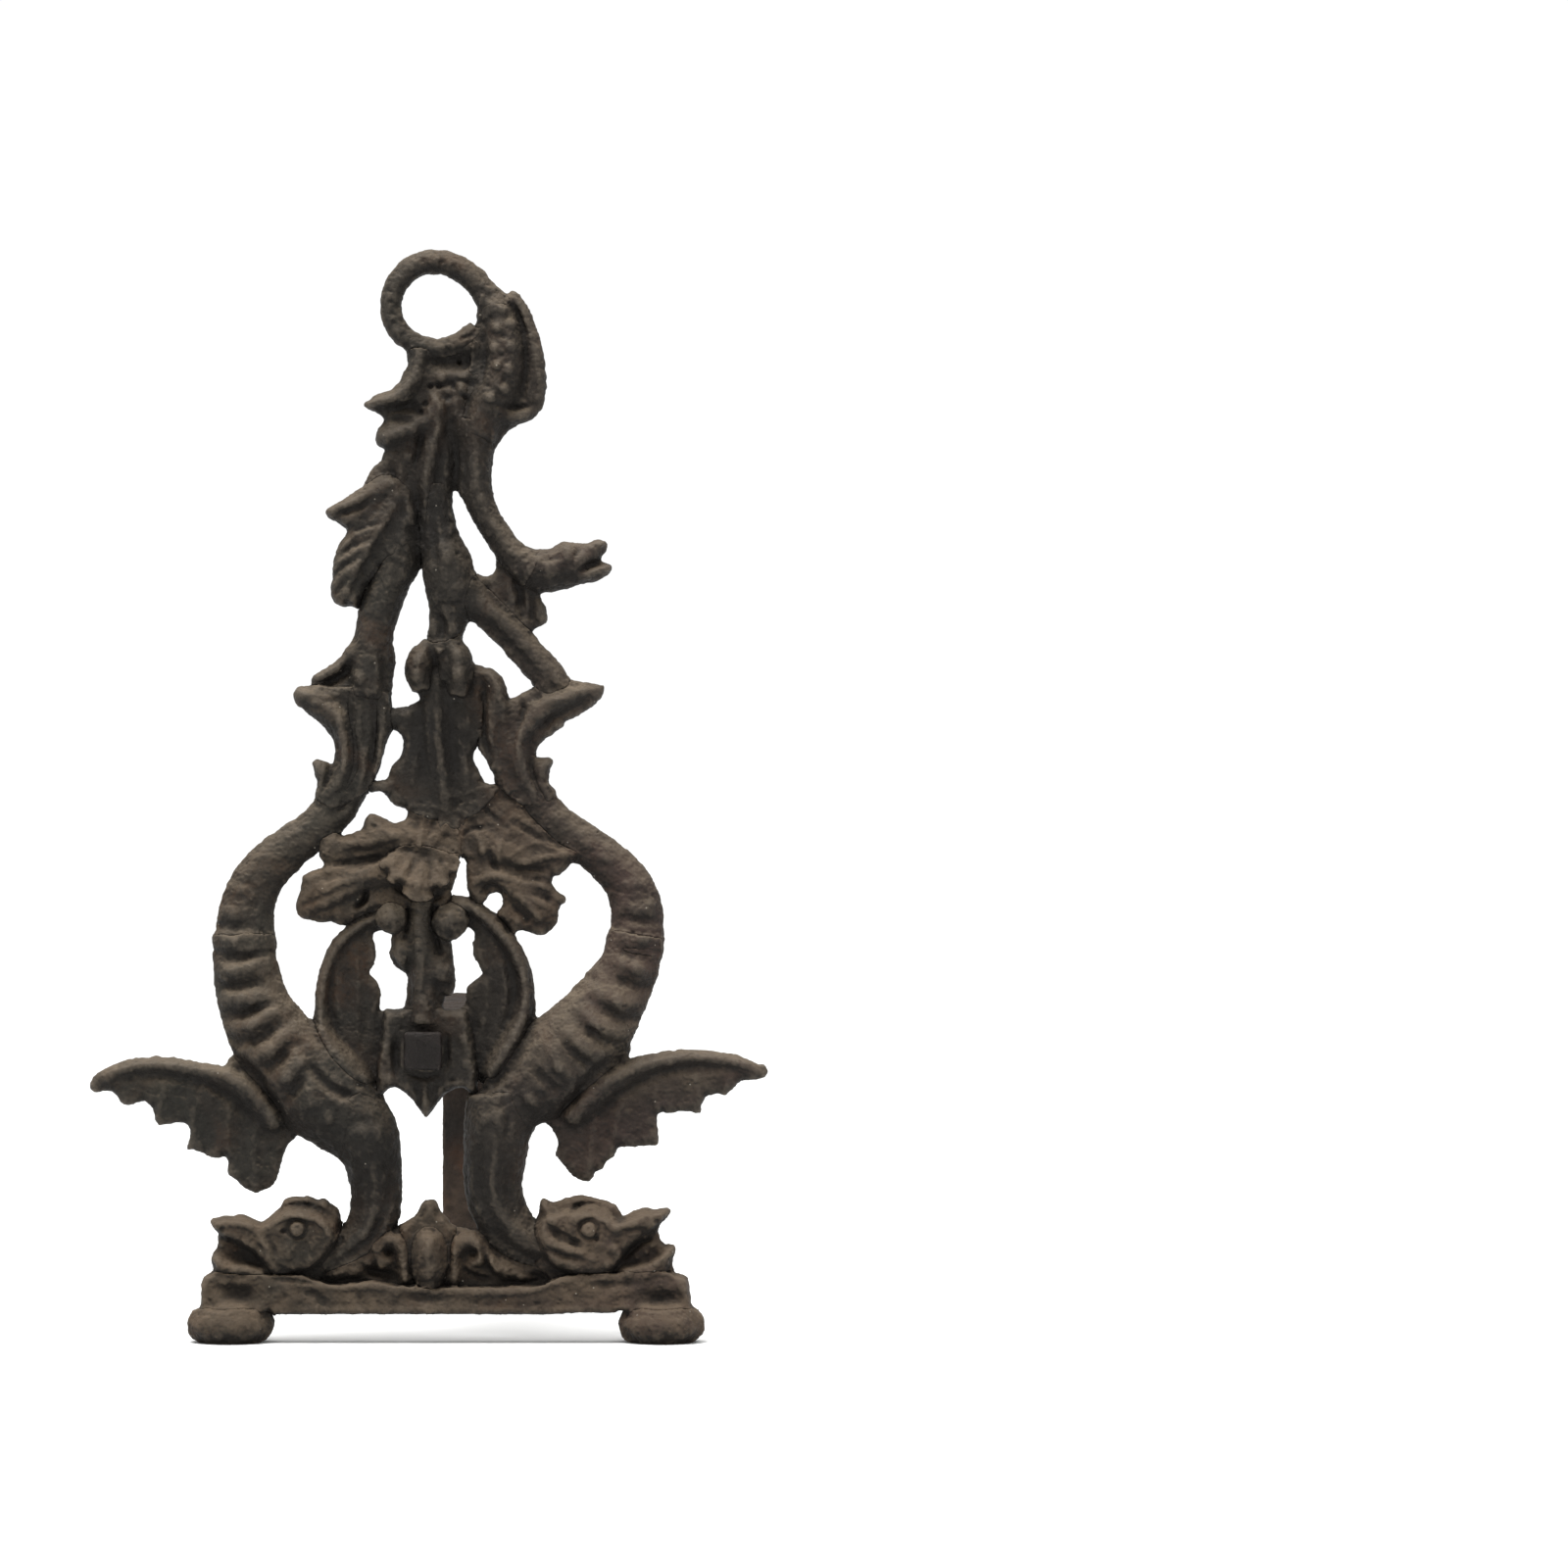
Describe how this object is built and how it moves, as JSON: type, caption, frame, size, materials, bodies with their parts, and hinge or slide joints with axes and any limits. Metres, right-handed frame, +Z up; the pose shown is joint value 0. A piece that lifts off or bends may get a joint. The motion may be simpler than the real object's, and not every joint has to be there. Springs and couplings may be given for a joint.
{
  "type": "fire dog andiron",
  "caption": "Ornamental cast-iron fire dog: two winged sea dragons and a wyvern with a ring tail on a footed bar, with a bolted billet bar behind.",
  "frame": {"origin": "on the floor, under the centre of the whole fire dog's box", "axes": "+X right, relief faces -Y, billet bar runs back along +Y, +Z up"},
  "size_m": [0.249, 0.3688, 0.4005],
  "materials": {
    "dark_iron": "rough cast, dark oxide with dusty brown high spots",
    "brown_iron": "rough cast, brown rust bloom",
    "bolt_iron": "smooth forged, grey-violet oxide",
    "wrought_iron": "forge scale with rust"
  },
  "bodies": {
    "root": {"left_foot": "brown_iron", "right_foot": "brown_iron", "base_bar": "brown_iron", "left_dragon_head": "brown_iron", "right_dragon_head": "brown_iron", "base_hood": "brown_iron", "base_pod": "brown_iron", "left_scroll": "brown_iron", "right_scroll": "brown_iron", "left_dragon_neck": "dark_iron", "right_dragon_neck": "dark_iron", "left_dragon_body": "dark_iron", "right_dragon_body": "dark_iron", "left_dragon_tail": "dark_iron", "right_dragon_tail": "dark_iron", "left_outer_wing": "dark_iron", "right_outer_wing": "dark_iron", "left_inner_wing": "dark_iron", "right_inner_wing": "dark_iron", "left_tail_leaf": "dark_iron", "right_tail_leaf": "dark_iron", "centre_stem": "dark_iron", "left_berry": "dark_iron", "right_berry": "dark_iron", "shield_boss": "dark_iron", "cluster_left_leaf": "brown_iron", "cluster_right_leaf": "brown_iron", "cluster_front_lobe": "brown_iron", "centre_leaf": "dark_iron", "left_branch": "dark_iron", "right_branch": "dark_iron", "upper_left_leaf": "dark_iron", "upper_right_leaf": "dark_iron", "wyvern_claw": "dark_iron", "wyvern_leg": "dark_iron", "wyvern_trunk": "dark_iron", "wyvern_back": "dark_iron", "wyvern_neck": "dark_iron", "wyvern_head": "dark_iron", "tail_ring": "dark_iron", "square_bolt": "bolt_iron", "billet_bar": "wrought_iron", "rear_leg": "wrought_iron"}
  },
  "joints": []
}
